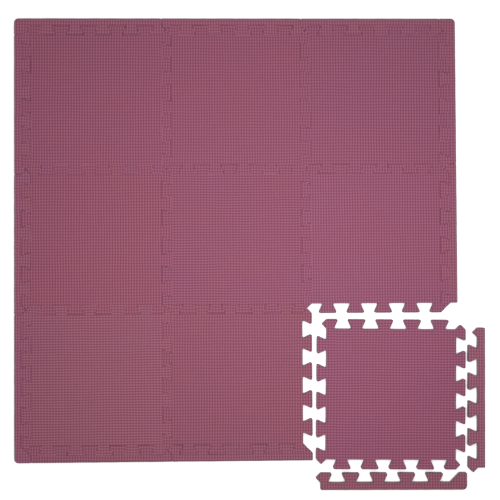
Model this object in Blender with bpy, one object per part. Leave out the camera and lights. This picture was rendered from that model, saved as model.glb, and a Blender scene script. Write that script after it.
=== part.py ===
"""Interlocking foam floor mat: nine square tiles and twelve edging strips.

The tiles lie in a 3 by 3 square and lock together with dovetail teeth. Every side of a
tile carries the same row of teeth, so any side fits any other. The edging strips fill the
open teeth around the mat and give it a straight border; four of them also carry a corner.
The south-east tile and the two strips beside it lie pulled out of the mat.

Frame: metres, +Z up, +Y north. The origin is the centre of the centre tile's underside.
"""

import math

import bmesh
import bpy
from mathutils import Matrix, Vector

# Driving dimensions.
GRID = 3  # tiles along each side of the mat
TILE_PITCH = 0.305  # one tile, from seam line to seam line
THICKNESS = 0.012
TEETH = 5  # teeth along one side of a tile
TOOTH_DEPTH = 0.0208  # from the root of a slot to the tip of a tooth
TOOTH_FLARE = 0.0033  # how far a tip reaches past the seam line's half spacing, each side
TOOTH_SLOPE = 0.0068  # how far to each side of the seam line a tooth's flank slopes
BORDER_WIDTH = 0.0257  # from the seam line to the mat's straight outer edge
FIT_GAP = 0.0003  # between the outlines of two pieces that interlock

# Corner radii, and the straight steps in each arc.
TIP_RADIUS = 0.002
ROOT_RADIUS = 0.001  # small enough to clear the tip that fills the slot
POINT_RADIUS = 0.0004
END_RADIUS = 0.0008
OUTER_RADIUS = 0.009
TIP_STEPS = 2
ROOT_STEPS = 1
POINT_STEPS = 2
END_STEPS = 2
OUTER_STEPS = 6

# How far the three loose pieces lie from their places in the mat, east and north, and how
# many degrees they are turned clockwise. A tile turns about its centre and a strip about the
# start of its row of teeth.
LOOSE_TILE = Vector((0.0308, -0.0366))
LOOSE_TILE_TURN = 0.8
LOOSE_CORNER_STRIP = Vector((0.0174, -0.0647))
LOOSE_CORNER_STRIP_TURN = 0.45
LOOSE_STRIP = Vector((0.0570, -0.0557))
LOOSE_STRIP_TURN = 0.55

# Foam colours, linear.
TILE_COLOUR = (0.290, 0.094, 0.147)
EDGING_COLOUR = (0.272, 0.089, 0.140)
FOAM_ROUGHNESS = 0.82

HALF_DEPTH = TOOTH_DEPTH / 2
TOOTH_PITCH = TILE_PITCH / TEETH

# Each corner of an outline is its point, its radius and the steps in its arc.
SHARP = (0.0, 1)
TIP = (TIP_RADIUS, TIP_STEPS)
ROOT = (ROOT_RADIUS, ROOT_STEPS)
POINT = (POINT_RADIUS, POINT_STEPS)
END = (END_RADIUS, END_STEPS)
OUTER = (OUTER_RADIUS, OUTER_STEPS)

TILE_NAMES = (
    ("tile_north_west", "tile_north", "tile_north_east"),
    ("tile_west", "tile_centre", "tile_east"),
    ("tile_south_west", "tile_south", "tile_south_east"),
)
# Counter-clockwise along each side; the last strip of a side carries its corner.
STRIP_NAMES = (
    ("edging_south_west_end", "edging_south_middle", "corner_edging_south_east"),
    ("edging_east_south_end", "edging_east_middle", "corner_edging_north_east"),
    ("edging_north_east_end", "edging_north_middle", "corner_edging_north_west"),
    ("edging_west_north_end", "edging_west_middle", "corner_edging_south_west"),
)
LOOSE_PIECES = {
    "tile_south_east": (LOOSE_TILE, LOOSE_TILE_TURN),
    "corner_edging_south_east": (LOOSE_CORNER_STRIP, LOOSE_CORNER_STRIP_TURN),
    "edging_east_south_end": (LOOSE_STRIP, LOOSE_STRIP_TURN),
}
IN_PLACE = (Vector((0, 0)), 0)


def flank(x, way):
    """Corners of a tooth's flank: the far one, from tip to root, or the near one if way is -1."""
    corners = [
        (Vector((x + way * TOOTH_FLARE, HALF_DEPTH)), TIP),
        (Vector((x + way * TOOTH_FLARE, TOOTH_SLOPE)), SHARP),
        (Vector((x - way * TOOTH_FLARE, -TOOTH_SLOPE)), SHARP),
        (Vector((x - way * TOOTH_FLARE, -HALF_DEPTH)), ROOT),
    ]
    return corners if way > 0 else corners[::-1]


def toothed_side():
    """Corners of one toothed side, running along +X from the origin with the outside at +Y.

    The side starts at the point of one tile corner with a tooth and ends, with a slot,
    just before the point of the next corner.
    """
    corners = [(Vector((0, 0)), POINT), (Vector((HALF_DEPTH, HALF_DEPTH)), SHARP)]
    for tooth in range(TEETH):
        if tooth > 0:
            corners += flank(tooth * TOOTH_PITCH, -1)
        corners += flank((tooth + 0.5) * TOOTH_PITCH, 1)
    corners.append((Vector((TILE_PITCH - HALF_DEPTH, -HALF_DEPTH)), SHARP))
    return corners


def turned(point, quarter_turns):
    """The point turned clockwise about the origin."""
    x, y = point
    for _ in range(quarter_turns % 4):
        x, y = y, -x
    return Vector((x, y))


def tile_corners():
    """Corners of a whole tile, clockwise about its centre."""
    to_centre = Vector((-TILE_PITCH / 2, TILE_PITCH / 2))
    return [
        (turned(point + to_centre, side), rounding)
        for side in range(4)
        for point, rounding in toothed_side()
    ]


def strip_corners(carries_corner):
    """Corners of an edging strip, clockwise, with its teeth to +Y and its edge to -Y."""
    outer_x = TILE_PITCH + BORDER_WIDTH
    next_x = TILE_PITCH + HALF_DEPTH
    if carries_corner:
        far_end = [
            (Vector((next_x, HALF_DEPTH)), SHARP),
            (Vector((outer_x, HALF_DEPTH)), END),
            (Vector((outer_x, -BORDER_WIDTH)), OUTER),
        ]
    else:
        far_end = [
            (Vector((TILE_PITCH, 0)), POINT),
            (Vector((next_x, -HALF_DEPTH)), SHARP),
            (Vector((next_x, -BORDER_WIDTH)), END),
        ]
    near_end = [
        (Vector((HALF_DEPTH, -BORDER_WIDTH)), END),
        (Vector((HALF_DEPTH, -HALF_DEPTH)), SHARP),
    ]
    return toothed_side() + far_end + near_end


def inward(before, point, after):
    """The point of a clockwise outline moved in, by half the fit gap from both its edges."""
    arriving = (point - before).normalized()
    leaving = (after - point).normalized()
    normal_in = Vector((arriving.y, -arriving.x))
    normal_out = Vector((leaving.y, -leaving.x))
    return point + (normal_in + normal_out) * (FIT_GAP / 2) / (1 + normal_in.dot(normal_out))


def arc(before, point, after, radius, steps):
    """Points of the arc that rounds the corner, or the bare corner where it stays sharp."""
    if radius == 0:
        return [point]
    back = (before - point).normalized()
    forward = (after - point).normalized()
    half_angle = back.angle(forward) / 2
    centre = point + (back + forward).normalized() * (radius / math.sin(half_angle))
    reach = radius / math.tan(half_angle)
    start = point + back * reach - centre
    sweep = start.angle_signed(point + forward * reach - centre)
    return [
        centre + Matrix.Rotation(-sweep * step / steps, 2) @ start
        for step in range(steps + 1)
    ]


def neighbours(points, index):
    return points[index - 1], points[index], points[(index + 1) % len(points)]


def outline(corners):
    """The finished outline: moved in for the fit, then rounded."""
    points = [point for point, _ in corners]
    fitted = [inward(*neighbours(points, i)) for i in range(len(points))]
    rounded = []
    for index, (_, (radius, steps)) in enumerate(corners):
        rounded += arc(*neighbours(fitted, index), radius, steps)
    return rounded


def foam_material(name, colour):
    material = bpy.data.materials.new(name)
    material.use_nodes = True
    shader = material.node_tree.nodes["Principled BSDF"]
    shader.inputs["Base Color"].default_value = (*colour, 1)
    shader.inputs["Roughness"].default_value = FOAM_ROUGHNESS
    shader.inputs["Metallic"].default_value = 0
    material.diffuse_color = (*colour, 1)
    return material


def slab_mesh(name, points, material):
    """A flat slab with the given outline, from the floor up to the foam's thickness."""
    body = bmesh.new()
    underside = body.faces.new([body.verts.new((*point, 0)) for point in points])
    raised = bmesh.ops.extrude_face_region(body, geom=[underside])
    top = [item for item in raised["geom"] if isinstance(item, bmesh.types.BMVert)]
    bmesh.ops.translate(body, verts=top, vec=(0, 0, THICKNESS))
    bmesh.ops.recalc_face_normals(body, faces=body.faces)
    mesh = bpy.data.meshes.new(name)
    body.to_mesh(mesh)
    body.free()
    mesh.materials.append(material)
    return mesh


def place(name, mesh, parent, x, y, quarter_turns=0):
    """A piece at its place in the mat, turned counter-clockwise, or beside it if it is loose."""
    moved, loose_turn = LOOSE_PIECES.get(name, IN_PLACE)
    piece = bpy.data.objects.new(name, mesh)
    piece.parent = parent
    piece.rotation_euler.z = quarter_turns * math.pi / 2 - math.radians(loose_turn)
    piece.location = (x + moved.x, y + moved.y, 0)
    bpy.context.collection.objects.link(piece)
    return piece


def add_tiles(parent):
    mesh = slab_mesh("tile", outline(tile_corners()), foam_material("tile_foam", TILE_COLOUR))
    middle = (GRID - 1) / 2
    for row, names in enumerate(TILE_NAMES):
        for column, name in enumerate(names):
            place(
                name,
                mesh,
                parent,
                (column - middle) * TILE_PITCH,
                (middle - row) * TILE_PITCH,
            )


def add_strips(parent):
    foam = foam_material("edging_foam", EDGING_COLOUR)
    plain = slab_mesh("edging", outline(strip_corners(False)), foam)
    corner = slab_mesh("corner_edging", outline(strip_corners(True)), foam)
    half_mat = GRID * TILE_PITCH / 2
    for side, names in enumerate(STRIP_NAMES):
        for place_along, name in enumerate(names):
            mesh = corner if name.startswith("corner") else plain
            start = turned((place_along * TILE_PITCH - half_mat, -half_mat), -side)
            place(name, mesh, parent, start.x, start.y, side)


def main():
    for leftover in list(bpy.data.objects):
        bpy.data.objects.remove(leftover)
    mat = bpy.data.objects.new("floor_mat", None)
    bpy.context.collection.objects.link(mat)
    add_tiles(mat)
    add_strips(mat)


main()
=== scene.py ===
import math
import random

import bmesh
import bpy
import numpy as np
from mathutils import Matrix, Vector, kdtree
from mathutils.geometry import delaunay_2d_cdt


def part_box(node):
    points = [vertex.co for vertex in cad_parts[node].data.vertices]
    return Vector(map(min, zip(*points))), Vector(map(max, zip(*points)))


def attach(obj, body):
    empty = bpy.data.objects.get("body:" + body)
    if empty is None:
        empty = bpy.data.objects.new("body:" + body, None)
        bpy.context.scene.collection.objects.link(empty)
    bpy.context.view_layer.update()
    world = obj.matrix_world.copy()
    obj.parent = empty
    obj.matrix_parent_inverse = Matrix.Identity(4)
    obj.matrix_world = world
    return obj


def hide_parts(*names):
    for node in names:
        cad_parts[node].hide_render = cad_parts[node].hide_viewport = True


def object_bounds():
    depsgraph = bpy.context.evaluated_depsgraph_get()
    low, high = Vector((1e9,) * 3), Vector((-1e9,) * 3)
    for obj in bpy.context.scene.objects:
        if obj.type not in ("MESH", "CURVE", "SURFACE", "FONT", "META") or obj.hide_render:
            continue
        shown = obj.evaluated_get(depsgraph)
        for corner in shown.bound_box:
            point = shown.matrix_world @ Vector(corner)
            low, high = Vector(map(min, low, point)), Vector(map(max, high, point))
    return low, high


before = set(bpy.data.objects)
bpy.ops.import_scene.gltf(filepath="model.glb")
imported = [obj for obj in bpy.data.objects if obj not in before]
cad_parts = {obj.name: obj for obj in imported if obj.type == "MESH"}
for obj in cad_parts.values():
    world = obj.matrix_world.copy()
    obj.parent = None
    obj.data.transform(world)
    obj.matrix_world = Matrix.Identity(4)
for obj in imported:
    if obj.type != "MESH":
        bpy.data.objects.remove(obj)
CAD_LOW, CAD_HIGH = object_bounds()
MM = 0.001
WELD = 0.01 * MM  # points closer than this are one point
FACING_UP = 0.9  # least upward part of a top face's normal

# The outline: its softened corners, and how far the foam swells past its solid.
OUTLINE_STEP = 0.6 * MM
SOFTENING_PASSES = 1
BEND_KEPT = math.radians(1.5)  # the outline keeps every point where it turns by more
STRAIGHT_STEPS = 4  # outline steps in one edge along the straight stretches
TIGHT_SWELL = 0.11 * MM  # where a piece fits its neighbours tightly
LOOSE_TILE_SWELL = 0.06 * MM  # where a tile fits loosely
LOOSE_STRIP_SWELL = -0.05 * MM
SWELL_WAVES = (0.11, 0.047)  # metres of outline from one tight stretch to the next
RELAXED_SWELL = 0.4 * MM  # how much more a piece swells where nothing touches it
FREEDOM_WIDTH = 3 * MM  # over which that sets in, as the next piece lies further off
SEAM_REACH = 1 * MM  # a rim with another piece this close lies in a seam, and is free otherwise

# The wall: how it runs from the underside to the top.
RIM_RADIUS = 0.35 * MM
RIM_ANGLES = (35, 65)  # degrees around the rim at which it gets a ring of points
FOOT_RADIUS = 0.3 * MM
WALL_HOLLOW = 0.12 * MM
WALL_SHAPE = ((0.3, 0.8), (0.55, 1.0), (0.8, 0.6))  # (share of the height, share of the hollow)

# The embossed weave: round strands both ways, passing over and under each other.
WARP_SPACING = 5.85 * MM
WEFT_SPACING = 6.45 * MM
LARGEST_STRETCH = 0.02  # of the spacings, from piece to piece
LARGEST_SKEW = 0.004  # radians between the weave and the piece's sides
LARGEST_START = 200  # spacings that the weave of a piece may be shifted by
WEAVE_DEPTH = 0.7 * MM
STRAND_WIDTH = 0.75  # share of the spacing
WARP_HEIGHT = 0.82  # of a strand's back, halfway between passing over and under
WEFT_HEIGHT = 0.70
STRAND_SWING = 0.18  # how much that height rises or sinks as the strand passes over or under
SPACING_STEPS = (0.0, 0.17, 0.5, 0.83)  # where the grid's lines lie across one spacing
WOBBLES = ((0.35 * MM, 0.09), (0.5 * MM, 0.23))  # how far strands wander, and over what length
UNBEND_ROUNDS = 4  # enough to find where a point lies between the wandering strands
WEAVE_FADE = 0.8 * MM  # distance from the rim over which the relief sets in
WARP_EAST_WEST = ("tile_centre", "tile_south_west", "tile_south_east")

# Filling a flat face with its grid.
POINT_CLEARANCE = 0.7 * MM  # between the rim and a grid point that is in no quad
PROBE_STEP = 0.4 * MM  # between the points of a rim that distances are measured to
UNDERSIDE_GRID = 12 * MM
TRIANGLE_TOLERANCE = 1e-7

# Foam colours, linear, and how some pieces differ from them; the south edging pieces come out
# darker.
TILE_COLOUR = (0.277, 0.0935, 0.148)
EDGING_COLOUR = (0.285, 0.101, 0.155)
PIECE_TINTS = {
    "tile_north_east": (0.98, 1.01, 1.02),
    "tile_west": (1.01, 0.99, 0.96),
    "tile_centre": (0.98, 0.99, 0.99),
    "tile_east": (1.00, 1.01, 1.03),
    "tile_south_west": (1.01, 1.09, 0.99),
    "tile_south": (0.98, 1.00, 0.95),
    "tile_south_east": (1.00, 1.00, 1.02),
    "edging_south_west_end": (0.94, 0.97, 0.93),
    "edging_south_middle": (0.94, 0.97, 0.93),
    "corner_edging_south_east": (0.94, 0.97, 0.90),
    "edging_east_south_end": (1.01, 1.09, 1.02),
}
NO_TINT = (1.0, 1.0, 1.0)
REDDER = (1.01, 1.00, 0.985)  # slow drifts of the colour within a piece
PURPLER = (0.99, 1.00, 1.015)
PIT_PAINTED_SHADE = (0.42, 0.60, 0.52)  # painted shade between the strands: share of each colour taken away in the pits
WARP_SHARE = 0.6  # how much of the painted shade between the strands follows the warp, against the weft
FREE_RIM_PAINTED_SHADE = (0.74, 1.08, 0.95)  # painted shade, darker and greyer, at a rim that no other piece covers
FREE_RIM_WIDTH = 4.0  # mm
TILE_RIM_SHADE_AND_HIGHLIGHT = (-0.08, 0.16)  # how much a rim's brightness changes: painted shade in some stretches, a painted highlight in others
EDGING_RIM_SHADE_AND_HIGHLIGHT = (-0.28, 0.10)
RIM_WIDTH = 1.5  # mm
OPEN_FACE = 10 * MM  # any greater distance from a free rim is stored as this

# Noises in the foam: features to one weave spacing, octaves of detail, and their roughness.
CLOUDS = (0.45, 3.0, 0.5)
GRAIN = (9.0, 2.0, 0.6)
DRIFT = (0.05, 2.0, 0.5)
# where along a rim the painted shade and the painted highlight fall
RIM_PATCHES = (0.15, 2.0, 0.5)

# The stretch of a noise over which something changes, and from what to what it changes.
SHADE_SPAN = (0.3, 0.7)
CLOUD_SHADES = (0.98, 1.02)
GRAIN_SHADES = (0.95, 1.05)
DRIFT_SPAN = (0.35, 0.65)
RIM_PATCH_SPAN = (0.4, 0.6)
ROUGHNESS_SPAN = (0.2, 0.8)
ROUGHNESS = (0.74, 0.88)
GLOSS = (0.24, 0.08)  # on the strands, and in the pits

# Pores of the cut walls, ribs along the strands, and how high each stands or how deep it lies.
PORES = 7.0  # to one weave spacing
PORE_EDGE = (0.12, 0.4)  # distance from a pore's middle over which it ends
# painted shade in the pores of the cut walls
PORE_SHADE = 0.82
RIBS = 4  # fine ribs along one strand
BUMP_HEIGHT = 0.08 * MM
RIB_BUMP, GRAIN_BUMP, PORE_BUMP = 0.35, 0.6, 0.8  # shares of the bumps' height

# Names of what the meshes carry for the material.
WEAVE_MAP = "weave"
FREE_RIM, RIM, SKIN, TINT = "free_rim_mm", "rim_mm", "skin", "tint"

# Camera, light and floor.
LENS_MM = 67.0
SENSOR_MM = 36.0
CAMERA_TARGET = Vector((0.0291, -0.02445, 0.0))
CAMERA_DISTANCE = 2.044
CAMERA_LEAN = Vector((-0.0237, -0.0199))  # how far it stands east and north, to one metre up
CAMERA_ROLL = 0.0054  # radians
WORLD_STRENGTH = 0.75
SOFTBOX_SIZE = 0.7
SOFTBOX_POWER = 6.3  # watts
SOFTBOX_PLACE = Vector((0.10, -0.035, 0.85))
SOFTBOX_TARGET = Vector((0.05, -0.02, 0.0))
WHITE = (1, 1, 1, 1)
FLOOR_HALF = 40.0  # from the middle to an edge
FLOOR_GAP = 0.2 * MM  # below the foam
FLOOR_ALBEDO = 0.86
FLOOR_ROUGHNESS = 0.9
FLOOR_GLOW = 0.4  # lifts the floor to white, except close to foam and in the seams
GLOW_CLEARANCE = 3 * MM
SKY_SAMPLES = 8


# ---- outlines ----


def signed_area(points):
    x, y = points.T
    return np.sum(x * np.roll(y, -1) - np.roll(x, -1) * y) / 2


def cad_outline(node):
    """Corners of a node's outline, counter-clockwise from above, as an array of (x, y)."""
    body = bmesh.new()
    body.from_mesh(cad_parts[node].data)
    bmesh.ops.remove_doubles(body, verts=body.verts, dist=WELD)
    body.normal_update()
    top = {face for face in body.faces if face.normal.z > FACING_UP}
    onward = {}
    for edge in body.edges:
        if len(top.intersection(edge.link_faces)) == 1:
            for end in edge.verts:
                onward.setdefault(end, []).append(edge.other_vert(end))
    start = here = next(iter(onward))
    came_from = None
    corners = []
    while here is not start or not corners:
        corners.append(here.co.xy)
        ahead = next(vert for vert in onward[here] if vert is not came_from)
        came_from, here = here, ahead
    corners = np.array(corners)
    body.free()
    return corners if signed_area(corners) > 0 else corners[::-1]


def tilt(corners):
    """How far the outline's sides are turned, counter-clockwise, from the nearest axis."""
    sides = np.roll(corners, -1, axis=0) - corners
    x, y = sides[np.argmax(np.linalg.norm(sides, axis=1))]
    return (math.atan2(y, x) + math.pi / 4) % (math.pi / 2) - math.pi / 4


def resampled(points, step):
    """The closed outline with points an even step apart."""
    closed = np.vstack([points, points[:1]])
    along = np.concatenate([[0], np.cumsum(np.linalg.norm(np.diff(closed, axis=0), axis=1))])
    at = np.linspace(0, along[-1], round(along[-1] / step), endpoint=False)
    return np.column_stack([np.interp(at, along, closed[:, axis]) for axis in (0, 1)])


def softened(points):
    """The closed outline with each point moved towards its neighbours."""
    for _ in range(SOFTENING_PASSES):
        points = (np.roll(points, 1, axis=0) + 2 * points + np.roll(points, -1, axis=0)) / 4
    return points


def thinned(points):
    """The outline without most of the points on its straight stretches."""
    ahead = np.roll(points, -1, axis=0) - points
    headings = np.arctan2(ahead[:, 1], ahead[:, 0])
    turns = np.abs(np.angle(np.exp(1j * (headings - np.roll(headings, 1)))))
    bends = turns > BEND_KEPT
    bends |= np.roll(bends, 1) | np.roll(bends, -1)
    return points[bends | (np.arange(len(points)) % STRAIGHT_STEPS == 0)]


def inward_normals(points):
    """Unit vectors into the foam at each point of a counter-clockwise outline."""
    chord = np.roll(points, -1, axis=0) - np.roll(points, 1, axis=0)
    inward = np.column_stack([-chord[:, 1], chord[:, 0]])
    return inward / np.linalg.norm(inward, axis=1)[:, None]


def smooth_step(values):
    """Goes smoothly from 0 to 1 as the values do."""
    share = np.clip(values, 0, 1)
    return share * share * (3 - 2 * share)


def swell(points, loosest, chance):
    """How far the foam swells at each point of its outline, from the loosest to a tight fit."""
    steps = np.linalg.norm(np.roll(points, -1, axis=0) - points, axis=1)
    along = np.cumsum(steps) / steps.sum()
    waves = [
        np.sin(math.tau * (along * round(steps.sum() / length) + chance.random()))
        for length in SWELL_WAVES
    ]
    tightness = smooth_step(0.5 + sum(waves) / len(waves))
    return loosest + (TIGHT_SWELL - loosest) * tightness


def soft_outline(node, corners):
    """The outline of a piece as its foam fills the mat."""
    outline = thinned(softened(resampled(corners, OUTLINE_STEP)))
    loosest = LOOSE_TILE_SWELL if node.startswith("tile") else LOOSE_STRIP_SWELL
    swelling = swell(outline, loosest, random.Random("swell of " + node))
    return outline - inward_normals(outline) * swelling[:, None]


def distances(probes, points):
    """How far each point lies from the nearest probe."""
    tree = kdtree.KDTree(len(probes))
    for index, probe in enumerate(probes):
        tree.insert((*probe, 0), index)
    tree.balance()
    return np.array([tree.find((*point, 0))[2] for point in points])


def gaps(node, points, rims):
    """How far points of a node's outline lie from the nearest other piece."""
    others = np.vstack([rims[other] for other in rims if other != node])
    return distances(others, points)


def relaxed(outline, gap):
    """The outline swollen where no other piece squeezes the foam."""
    freedom = smooth_step((gap - SEAM_REACH) / FREEDOM_WIDTH)
    return outline - inward_normals(outline) * RELAXED_SWELL * freedom[:, None]


def rim_distances(free, points):
    """How far each point lies from the rims that no other piece covers."""
    if len(free) == 0:
        return np.full(len(points), OPEN_FACE)
    return np.minimum(distances(free, points), OPEN_FACE)


# ---- flat faces filled with a grid ----


def inside(ring, columns, rows):
    """Which crossings of the grid's lines lie inside the ring, as a table [column, row]."""
    x, y = ring.T
    next_x, next_y = np.roll(x, -1), np.roll(y, -1)
    table = np.zeros((len(columns), len(rows)), bool)
    for index, height in enumerate(rows):
        crossed = (y > height) != (next_y > height)
        share = (height - y[crossed]) / (next_y[crossed] - y[crossed])
        walls = np.sort(x[crossed] + share * (next_x[crossed] - x[crossed]))
        table[:, index] = np.searchsorted(walls, columns) % 2 == 1
    return table


class Filling:
    """Faces that fill a ring: quads on a grid's lines, and triangles between them and the ring.

    In the faces' numbering the ring's points come first and the grid's points follow.
    """

    def __init__(self, ring, columns, rows):
        self.ring, self.columns, self.rows = ring, columns, rows
        within = inside(ring, columns, rows)
        reach = np.zeros(within.shape)
        reach[within] = distances(resampled(ring, PROBE_STEP), self.crossings(within))
        widest = math.hypot(np.diff(columns).max(), np.diff(rows).max())
        clear = reach > widest / 2 + WELD
        self.quads = clear[:-1, :-1] & clear[1:, :-1] & clear[:-1, 1:] & clear[1:, 1:]
        around = np.pad(self.quads, 1)
        in_quad = around[:-1, :-1] | around[1:, :-1] | around[:-1, 1:] | around[1:, 1:]
        used = in_quad | (reach > POINT_CLEARANCE)
        self.number = np.full(within.shape, -1)
        self.number[used] = len(ring) + np.arange(np.count_nonzero(used))
        self.lone = self.number[used & ~in_quad]
        self.points = self.crossings(used)
        self.depth = reach[used]
        self.faces = self.quad_faces() + self.band_faces()

    def crossings(self, chosen):
        """Places of the chosen crossings of the grid's lines."""
        i, j = np.nonzero(chosen)
        return np.column_stack([self.columns[i], self.rows[j]])

    def quad_faces(self):
        i, j = np.nonzero(self.quads)
        number = self.number
        corners = (number[i, j], number[i + 1, j], number[i + 1, j + 1], number[i, j + 1])
        return np.column_stack(corners).tolist()

    def quad_rim(self):
        """Pairs of numbers along the edge of the block of quads."""
        around = np.pad(self.quads, 1)
        lying = np.argwhere(around[1:-1, :-1] != around[1:-1, 1:])
        standing = np.argwhere(around[:-1, 1:-1] != around[1:, 1:-1])
        number = self.number
        pairs = [(number[i, j], number[i + 1, j]) for i, j in lying]
        return pairs + [(number[i, j], number[i, j + 1]) for i, j in standing]

    def in_quads(self, point):
        i = np.searchsorted(self.columns, point[0]) - 1
        j = np.searchsorted(self.rows, point[1]) - 1
        on_grid = 0 <= i < self.quads.shape[0] and 0 <= j < self.quads.shape[1]
        return on_grid and self.quads[i, j]

    def band_faces(self):
        """Triangles between the ring and the block of quads."""
        size = len(self.ring)
        rim = self.quad_rim()
        chosen = list(range(size)) + sorted({end for pair in rim for end in pair} | set(self.lone))
        rank = {vertex: index for index, vertex in enumerate(chosen)}
        fixed = [(index, (index + 1) % size) for index in range(size)]
        fixed += [(rank[a], rank[b]) for a, b in rim]
        every = np.vstack([self.ring, self.points])
        flat = [Vector(every[vertex]) for vertex in chosen]
        filled = delaunay_2d_cdt(flat, fixed, [], 1, TRIANGLE_TOLERANCE)
        places, _, triangles, origins, _, _ = filled
        places = np.array(places)
        back = [int(chosen[source[0]]) for source in origins]
        faces = []
        for triangle in triangles:
            if not self.in_quads(places[list(triangle)].mean(axis=0)):
                faces.append([back[corner] for corner in triangle])
        return faces


# ---- the weave ----


def turned(points, angle):
    """The points turned counter-clockwise about the origin."""
    cosine, sine = math.cos(angle), math.sin(angle)
    x, y = points.T
    return np.column_stack([cosine * x - sine * y, sine * x + cosine * y])


class Weave:
    """How the weave lies on one piece: its warp runs along its own Y and repeats along its X."""

    def __init__(self, node, piece_tilt):
        chance = random.Random(node)
        self.angle = piece_tilt + chance.uniform(-LARGEST_SKEW, LARGEST_SKEW)
        if node in WARP_EAST_WEST:
            self.angle += math.pi / 2
        stretch = [1 + chance.uniform(-LARGEST_STRETCH, LARGEST_STRETCH) for _ in range(2)]
        self.spacing = np.array((WARP_SPACING, WEFT_SPACING)) * stretch
        self.phase = np.array([chance.uniform(0, LARGEST_START) for _ in range(2)])
        self.starts = [[chance.uniform(0, math.tau) for _ in range(4)] for _ in WOBBLES]

    def wander(self, points):
        """How far the strands stray from straight lines at points of the straight weave."""
        stray = np.zeros(points.shape)
        for (reach, length), starts in zip(WOBBLES, self.starts):
            x, y = (points * math.tau / length).T
            stray[:, 0] += reach * np.sin(y + starts[0]) * np.cos(x + starts[1])
            stray[:, 1] += reach * np.sin(x + starts[2]) * np.cos(y + starts[3])
        return stray

    def laid(self, points):
        """Where points of the piece lie in the weave, in metres, with its strands straight."""
        along = straight = turned(points, -self.angle)
        for _ in range(UNBEND_ROUNDS):
            straight = along - self.wander(straight)
        return straight

    def unlaid(self, points):
        """Where points of the straight weave lie on the piece."""
        return turned(points + self.wander(points), self.angle)

    def cells(self, laid_points):
        """Places counted in spacings from the weave's start."""
        return laid_points / self.spacing + self.phase

    def lines(self, low, high, axis):
        """Places of the grid's lines between two ends, in the weave's own directions."""
        first = math.floor(low / self.spacing[axis] + self.phase[axis])
        last = math.ceil(high / self.spacing[axis] + self.phase[axis])
        counts = np.add.outer(np.arange(first, last), SPACING_STEPS).ravel()
        return (counts - self.phase[axis]) * self.spacing[axis]

    def grid(self, ring):
        """Places of the grid's lines that cover a ring: along the weave's X, and along its Y."""
        return [self.lines(ring[:, axis].min(), ring[:, axis].max(), axis) for axis in (0, 1)]


def relief(cells):
    """Height of the weave, from 0 in the pits to 1 where a warp strand passes over."""
    share = cells - np.floor(cells)
    warp, weft = np.maximum(0, 1 - ((2 * share - 1) / STRAND_WIDTH) ** 2).T
    swing = STRAND_SWING * np.sin(np.pi * cells).prod(axis=1)
    return np.maximum(warp * (WARP_HEIGHT + swing), weft * (WEFT_HEIGHT - swing))


# ---- pieces ----


def wall_profile(low, high):
    """(inset, height) of the rings from the underside, up the cut wall, to the top."""
    bevel = 1 - math.sqrt(0.5)
    foot = [
        (FOOT_RADIUS, low),
        (FOOT_RADIUS * bevel, low + FOOT_RADIUS * bevel),
        (0.0, low + FOOT_RADIUS),
    ]
    wall = [(WALL_HOLLOW * hollow, low + (high - low) * share) for share, hollow in WALL_SHAPE]
    rim = [(0.0, high - RIM_RADIUS)]
    for angle in map(math.radians, RIM_ANGLES):
        rim.append((RIM_RADIUS * (1 - math.cos(angle)), high - RIM_RADIUS * (1 - math.sin(angle))))
    return foot + wall + rim + [(RIM_RADIUS, high)]


class Shell:
    """Points and faces of one piece while it is put together."""

    def __init__(self, outline):
        self.outline = outline
        self.size = len(outline)
        self.total = 0
        self.coords, self.skin, self.depth, self.faces = [], [], [], []

    def add(self, plan, heights, skin, depth=0.0):
        """Adds points, and returns the first one's number.

        They are skin (1) or cut foam (0), and lie the given depth inside the outline.
        """
        self.coords.append(np.column_stack([plan, np.broadcast_to(heights, len(plan))]))
        self.skin.append(np.full(len(plan), float(skin)))
        self.depth.append(np.broadcast_to(depth, len(plan)))
        self.total += len(plan)
        return self.total - len(plan)

    def wall(self, low, high):
        """Rings up the wall; returns the first numbers of the lowest and the highest."""
        normals = inward_normals(self.outline)
        starts = []
        for inset, height in wall_profile(low, high):
            is_skin = height > high - RIM_RADIUS / 2
            starts.append(self.add(self.outline + normals * inset, height, is_skin))
        for lower, upper in zip(starts, starts[1:]):
            for here in range(self.size):
                ahead = (here + 1) % self.size
                self.faces.append((lower + here, lower + ahead, upper + ahead, upper + here))
        return starts[0], starts[-1]

    def ring(self, start):
        return np.vstack(self.coords)[start : start + self.size, :2]

    def cap(self, filling, ring_start, points_start, faces_up):
        for face in filling.faces:
            numbers = [
                ring_start + corner if corner < self.size else points_start + corner - self.size
                for corner in face
            ]
            self.faces.append(numbers if faces_up else numbers[::-1])

    def woven_top(self, ring_start, high, weave):
        ring = weave.laid(self.ring(ring_start))
        filling = Filling(ring, *weave.grid(ring))
        sunk = 1 - relief(weave.cells(filling.points))
        sunk *= WEAVE_DEPTH * smooth_step(filling.depth / WEAVE_FADE)
        plan = weave.unlaid(filling.points)
        points_start = self.add(plan, high - sunk, True, filling.depth)
        self.cap(filling, ring_start, points_start, True)

    def plain_underside(self, ring_start, low):
        ring = self.ring(ring_start)
        grid = [
            np.arange(start - UNDERSIDE_GRID, end + UNDERSIDE_GRID, UNDERSIDE_GRID)
            for start, end in zip(ring.min(axis=0), ring.max(axis=0))
        ]
        filling = Filling(ring, *grid)
        points_start = self.add(filling.points, low, False)
        self.cap(filling, ring_start, points_start, False)


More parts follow.
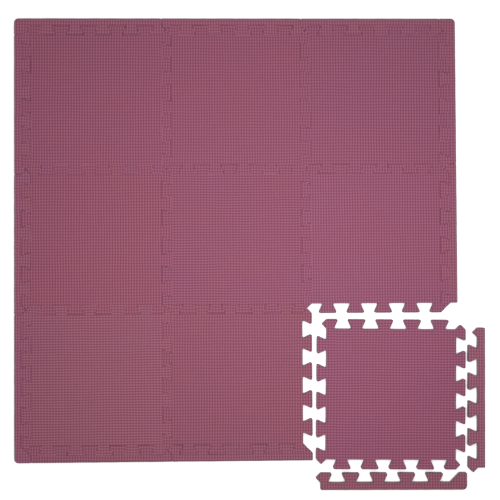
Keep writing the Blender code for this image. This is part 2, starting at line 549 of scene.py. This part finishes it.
def foam_piece(node, outline, free_rim, piece_tilt, material):
    """One piece of the mat, as high and as low as its solid."""
    low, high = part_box(node)
    weave = Weave(node, piece_tilt)
    shell = Shell(outline)
    foot, rim = shell.wall(low.z, high.z)
    shell.woven_top(rim, high.z, weave)
    shell.plain_underside(foot, low.z)

    coords = np.vstack(shell.coords)
    plan = coords[:, :2]
    mesh = bpy.data.meshes.new(node + "_foam")
    mesh.from_pydata(coords, [], shell.faces)
    mesh.update()
    set_values(mesh, FREE_RIM, rim_distances(free_rim, plan) / MM)
    set_values(mesh, RIM, np.concatenate(shell.depth) / MM)
    set_values(mesh, SKIN, np.concatenate(shell.skin))
    set_values(mesh, TINT, np.tile(PIECE_TINTS.get(node, NO_TINT), (len(coords), 1)))
    set_map(mesh, weave.cells(weave.laid(plan)))
    mesh.materials.append(material)
    mesh.shade_smooth()
    piece = bpy.data.objects.new(node + "_foam", mesh)
    bpy.context.scene.collection.objects.link(piece)
    return piece


def set_values(mesh, name, values):
    """Stores a number, or three, at each of the mesh's points."""
    several = values.ndim > 1
    attribute = mesh.attributes.new(name, "FLOAT_VECTOR" if several else "FLOAT", "POINT")
    attribute.data.foreach_set("vector" if several else "value", values.astype(np.float32).ravel())


def set_map(mesh, cells):
    """Stores the points' places in the weave as the mesh's UV map."""
    corners = np.empty(len(mesh.loops), int)
    mesh.loops.foreach_get("vertex_index", corners)
    layer = mesh.uv_layers.new(name=WEAVE_MAP)
    layer.uv.foreach_set("vector", cells[corners].astype(np.float32).ravel())


# ---- material ----


class Graph:
    """Short calls that add a material's nodes and link them."""

    def __init__(self, name):
        self.material = bpy.data.materials.new(name)
        self.material.use_nodes = True
        self.tree = self.material.node_tree
        self.shader = self.tree.nodes["Principled BSDF"]

    def put(self, socket, value):
        """Links a node's output to the socket, or sets the socket to a plain value."""
        if isinstance(value, bpy.types.NodeSocket):
            self.tree.links.new(value, socket)
        else:
            socket.default_value = value

    def finish(self, name, value):
        """Gives the shader its input of that name."""
        self.put(self.shader.inputs[name], value)

    def add(self, kind, *values, **settings):
        """Adds a node with these settings, and puts the values into its first sockets."""
        node = self.tree.nodes.new("ShaderNode" + kind)
        for name, value in settings.items():
            setattr(node, name, value)
        for socket, value in zip(node.inputs, values):
            self.put(socket, value)
        return node

    def math(self, operation, *values):
        return self.add("Math", *values, operation=operation).outputs[0]

    def times(self, first, *others):
        for other in others:
            first = self.math("MULTIPLY", first, other)
        return first

    def vector_math(self, operation, *values):
        return self.add("VectorMath", *values, operation=operation).outputs[0]

    def scaled(self, vector, factor):
        node = self.add("VectorMath", vector, operation="SCALE")
        self.put(node.inputs["Scale"], factor)
        return node.outputs[0]

    def blend(self, share, first, second):
        """The first vector at a share of 0, and the second at 1."""
        change = tuple(b - a for a, b in zip(first, second))
        return self.vector_math("ADD", self.scaled(change, share), first)

    def ramp(self, value, start, end, low=0.0, high=1.0):
        """A smooth step from low to high as the value goes from start to end."""
        node = self.add("MapRange", value, start, end, low, high, interpolation_type="SMOOTHSTEP")
        return node.outputs[0]

    def stored(self, name, output="Fac"):
        return self.add("Attribute", attribute_name=name).outputs[output]

    def noise(self, place, scale, detail, roughness):
        node = self.add("TexNoise")
        self.put(node.inputs["Vector"], place)
        self.put(node.inputs["Scale"], scale)
        self.put(node.inputs["Detail"], detail)
        self.put(node.inputs["Roughness"], roughness)
        return node.outputs["Fac"]

    def strand_back(self, place):
        """Round back of a strand: 0 beside it and 1 along its middle."""
        off = self.math("MULTIPLY_ADD", self.math("FRACT", place), 2.0, -1.0)
        off = self.math("DIVIDE", off, STRAND_WIDTH)
        return self.math("MAXIMUM", 0.0, self.math("SUBTRACT", 1.0, self.times(off, off)))


class FoamPatterns:
    """What the foam's colour and bumps are made of, at each point of the surface."""

    def __init__(self, graph):
        self.skin = graph.stored(SKIN)
        cut = graph.math("SUBTRACT", 1.0, self.skin)
        woven = graph.add("UVMap", uv_map=WEAVE_MAP).outputs[0]
        self.along = graph.add("SeparateXYZ", woven).outputs[:2]
        height = graph.add("SeparateXYZ", graph.add("TexCoord").outputs["Object"]).outputs["Z"]
        height = graph.math("DIVIDE", height, WARP_SPACING)
        self.place = graph.add("CombineXYZ", *self.along, height).outputs[0]

        self.backs = [graph.strand_back(along) for along in self.along]
        warp, weft = self.backs
        raised = graph.times(warp, WARP_SHARE)
        raised = graph.math("ADD", raised, graph.times(weft, 1 - WARP_SHARE))
        self.pit = graph.times(graph.math("SUBTRACT", 1.0, raised), self.skin)
        self.clouds = graph.noise(self.place, *CLOUDS)
        self.grain = graph.noise(self.place, *GRAIN)
        pore = graph.add("TexVoronoi", self.place, feature="F1")
        graph.put(pore.inputs["Scale"], PORES)
        self.pore = graph.times(graph.ramp(pore.outputs["Distance"], *PORE_EDGE, 1.0, 0.0), cut)


def foam_material(name, colour, rim_changes):
    """Foam with a woven skin (skin 1) and pored cut walls (skin 0)."""
    graph = Graph(name)
    patterns = FoamPatterns(graph)
    tinted = foam_tint(graph, patterns, colour)
    graph.finish("Base Color", graph.scaled(tinted, foam_shade(graph, patterns, rim_changes)))
    bump = graph.add("Bump")
    graph.put(bump.inputs["Strength"], 1.0)
    graph.put(bump.inputs["Distance"], BUMP_HEIGHT)
    graph.put(bump.inputs["Height"], bumps(graph, patterns))
    graph.finish("Normal", bump.outputs[0])
    graph.finish("Roughness", graph.ramp(patterns.clouds, *ROUGHNESS_SPAN, *ROUGHNESS))
    graph.finish("Specular IOR Level", graph.ramp(patterns.pit, 0.0, 1.0, *GLOSS))
    return graph.material


def foam_tint(graph, patterns, colour):
    """The foam's colour with all that changes its hue, and the painted shade in the pits and at
    free rims.
    """
    # painted shade in the pits between the strands
    kept = graph.vector_math("SUBTRACT", NO_TINT, graph.scaled(PIT_PAINTED_SHADE, patterns.pit))
    drift = graph.ramp(graph.noise(patterns.place, *DRIFT), *DRIFT_SPAN)
    # painted shade, darker and greyer, close to a free rim
    to_face = graph.ramp(graph.stored(FREE_RIM), 0.0, FREE_RIM_WIDTH)
    tinted = graph.vector_math("MULTIPLY", graph.stored(TINT, "Vector"), colour)
    for tint in (
        kept,
        graph.blend(drift, REDDER, PURPLER),
        graph.blend(to_face, FREE_RIM_PAINTED_SHADE, NO_TINT),
    ):
        tinted = graph.vector_math("MULTIPLY", tinted, tint)
    return tinted


def foam_shade(graph, patterns, rim_changes):
    """Brightness of the foam, about 1, with painted shade in the pores and painted shade and
    highlights along the rims.
    """
    return graph.times(
        graph.ramp(patterns.clouds, *SHADE_SPAN, *CLOUD_SHADES),
        graph.ramp(patterns.grain, *SHADE_SPAN, *GRAIN_SHADES),
        # painted shade in the pores
        graph.ramp(patterns.pore, 0.0, 1.0, 1.0, PORE_SHADE),
        rim_shade_and_highlight(graph, patterns, rim_changes),
    )


def rim_shade_and_highlight(graph, patterns, changes):
    """Brightness of the rims: painted shade in some stretches and a painted highlight in others.
    """
    change = graph.ramp(graph.noise(patterns.place, *RIM_PATCHES), *RIM_PATCH_SPAN, *changes)
    near = graph.ramp(graph.stored(RIM), 0.0, RIM_WIDTH, 1.0, 0.0)
    return graph.math("MULTIPLY_ADD", graph.times(near, patterns.skin), change, 1.0)


def bumps(graph, patterns):
    """Fine ribs along the strands, the skin's grain and the pores of the cut."""
    warp_on_top = graph.math("GREATER_THAN", *patterns.backs)
    across = graph.add("Mix", warp_on_top, data_type="FLOAT")
    graph.put(across.inputs[2], patterns.along[1])
    graph.put(across.inputs[3], patterns.along[0])
    ribs = graph.math("SINE", graph.times(across.outputs[0], RIBS * math.tau))
    ribs = graph.times(ribs, graph.math("MAXIMUM", *patterns.backs), patterns.skin)
    grain = graph.times(patterns.grain, GRAIN_BUMP)
    height = graph.math("ADD", graph.times(ribs, RIB_BUMP), grain)
    return graph.math("SUBTRACT", height, graph.times(patterns.pore, PORE_BUMP))


# ---- surroundings ----


def add_floor():
    """A wide white floor just below the foam."""
    body = bmesh.new()
    bmesh.ops.create_grid(body, x_segments=2, y_segments=2, size=FLOOR_HALF)
    mesh = bpy.data.meshes.new("floor")
    body.to_mesh(mesh)
    body.free()
    graph = Graph("floor_white")
    graph.finish("Base Color", (FLOOR_ALBEDO, FLOOR_ALBEDO, FLOOR_ALBEDO, 1))
    graph.finish("Roughness", FLOOR_ROUGHNESS)
    graph.finish("Specular IOR Level", 0.0)
    graph.finish("Emission Color", WHITE)
    open_sky = graph.add("AmbientOcclusion", samples=SKY_SAMPLES)
    graph.put(open_sky.inputs["Distance"], GLOW_CLEARANCE)
    graph.finish("Emission Strength", graph.times(open_sky.outputs["AO"], FLOOR_GLOW))
    mesh.materials.append(graph.material)
    floor = bpy.data.objects.new("floor", mesh)
    floor.location.z = CAD_LOW.z - FLOOR_GAP
    bpy.context.scene.collection.objects.link(floor)


def add_light():
    """White light from all around, and a softbox above the mat's middle."""
    world = bpy.data.worlds.new("studio")
    world.use_nodes = True
    background = world.node_tree.nodes["Background"]
    background.inputs["Color"].default_value = WHITE
    background.inputs["Strength"].default_value = WORLD_STRENGTH
    bpy.context.scene.world = world
    softbox = bpy.data.lights.new("softbox", "AREA")
    softbox.shape = "SQUARE"
    softbox.size = SOFTBOX_SIZE
    softbox.energy = SOFTBOX_POWER
    lamp = bpy.data.objects.new("softbox", softbox)
    lamp.location = SOFTBOX_PLACE
    lamp.rotation_euler = (SOFTBOX_PLACE - SOFTBOX_TARGET).to_track_quat("Z", "Y").to_euler()
    lamp.visible_camera = False
    bpy.context.scene.collection.objects.link(lamp)
    bpy.context.scene.view_settings.view_transform = "Standard"


def add_camera():
    """Almost straight above the mat, looking down, with north at the top of the picture."""
    data = bpy.data.cameras.new("camera")
    data.lens = LENS_MM
    data.sensor_width = SENSOR_MM
    back = Vector((*CAMERA_LEAN, 1)).normalized()
    up = Vector((math.sin(CAMERA_ROLL), math.cos(CAMERA_ROLL), 0))
    right = up.cross(back).normalized()
    axes = Matrix((right, back.cross(right), back)).transposed().to_4x4()
    camera = bpy.data.objects.new("camera", data)
    camera.matrix_world = Matrix.Translation(CAMERA_TARGET + back * CAMERA_DISTANCE) @ axes
    bpy.context.scene.collection.objects.link(camera)
    bpy.context.scene.camera = camera


def add_mat():
    """All pieces of the mat, each in place of its solid."""
    tile_foam = foam_material("woven_tile_foam", TILE_COLOUR, TILE_RIM_SHADE_AND_HIGHLIGHT)
    edging_foam = foam_material("woven_edging_foam", EDGING_COLOUR, EDGING_RIM_SHADE_AND_HIGHLIGHT)
    corners = {node: cad_outline(node) for node in sorted(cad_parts)}
    outlines = {node: soft_outline(node, points) for node, points in corners.items()}
    rims = {node: resampled(outline, PROBE_STEP) for node, outline in outlines.items()}
    for node, outline in outlines.items():
        is_tile = node.startswith("tile")
        foam = tile_foam if is_tile else edging_foam
        free_rim = rims[node][gaps(node, rims[node], rims) > SEAM_REACH]
        relaxed_outline = relaxed(outline, gaps(node, outline, rims))
        piece = foam_piece(node, relaxed_outline, free_rim, tilt(corners[node]), foam)
        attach(piece, node)
        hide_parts(node)


add_mat()
add_floor()
add_light()
add_camera()
